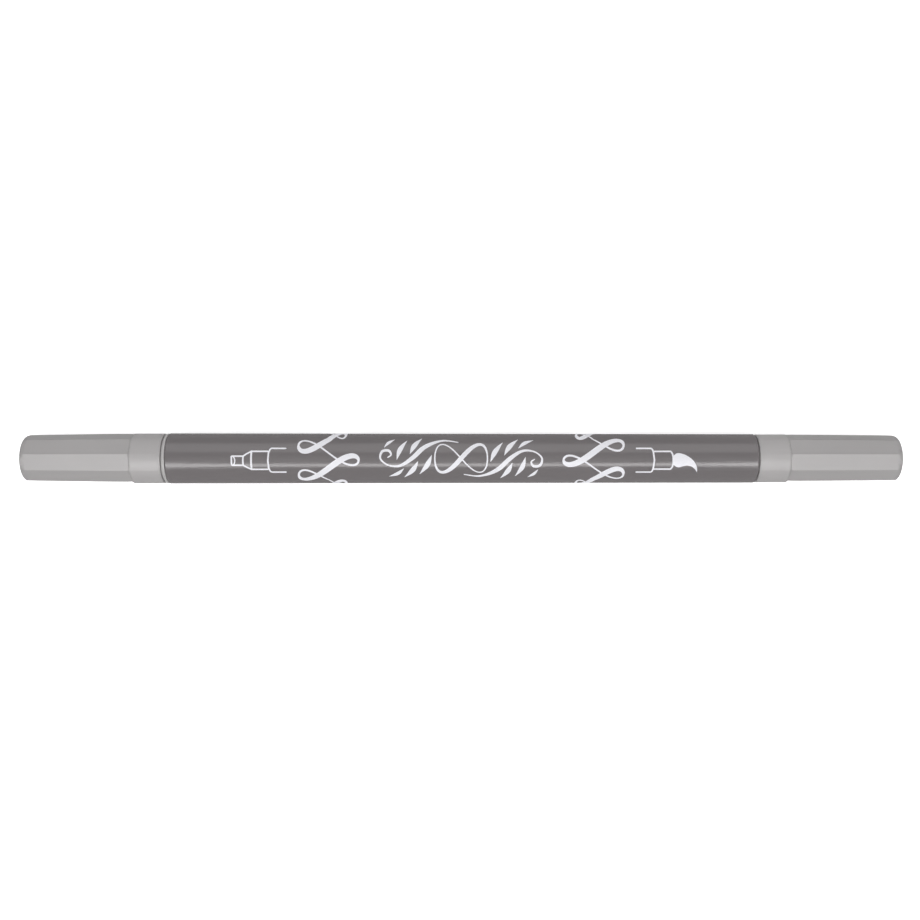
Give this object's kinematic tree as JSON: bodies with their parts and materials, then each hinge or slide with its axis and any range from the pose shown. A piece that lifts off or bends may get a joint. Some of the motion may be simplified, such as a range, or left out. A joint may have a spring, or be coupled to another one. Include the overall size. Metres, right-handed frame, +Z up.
{
  "type": "calligraphy marker",
  "caption": "Twin-tip calligraphy marker: grey barrel with a flat broad nib at one end, a flexible brush tip at the other, and a faceted pull-off cap on each.",
  "frame": {"origin": "on the table, under the middle of the pen, which lies on its side with both caps on", "axes": "+X along the pen towards the brush end (-X is the calligraphy end), +Z up, with the printed side up"},
  "size_m": [0.1686, 0.0098, 0.0097],
  "materials": {
    "barrel_plastic": "dark warm grey, satin moulded polypropylene",
    "section_plastic": "pale grey, satin moulded plastic",
    "cap_plastic": "pale grey, satin moulded polypropylene",
    "liner_plastic": "natural soft polyethylene",
    "nib_fibre": "pressed polyester fibre, charged with dark ink",
    "brush_fibre": "bundled nylon fibre brush, charged with dark ink",
    "core_fibre": "polyester fibre core soaked with ink",
    "film": "thin clear plastic sleeve"
  },
  "bodies": {
    "barrel": {"barrel": "barrel_plastic", "section_calligraphy": "section_plastic", "section_brush": "section_plastic", "calligraphy_nib": "nib_fibre", "ink_reservoir": "core_fibre", "reservoir_film": "film"},
    "cap_calligraphy": {"cap_calligraphy_shell": "cap_plastic", "cap_calligraphy_liner": "liner_plastic"},
    "cap_brush": {"cap_brush_shell": "cap_plastic", "cap_brush_liner": "liner_plastic"},
    "brush_tip": {"brush_nib": "brush_fibre"}
  },
  "joints": [
    {"name": "cap_calligraphy_pull", "type": "slide", "parent": "barrel", "child": "cap_calligraphy", "axis": [-1, 0, 0], "range_m": [0, 0.03]},
    {"name": "cap_brush_pull", "type": "slide", "parent": "barrel", "child": "cap_brush", "axis": [1, 0, 0], "range_m": [0, 0.03]},
    {"name": "brush_bend", "type": "hinge", "parent": "barrel", "child": "brush_tip", "pos_m": [0.06685, 0, 0.00486], "axis": [0, 0, 1], "range_deg": [-20, 20], "stiffness_Nm_per_rad": 0.01, "deforming": ["brush_nib"]}
  ]
}
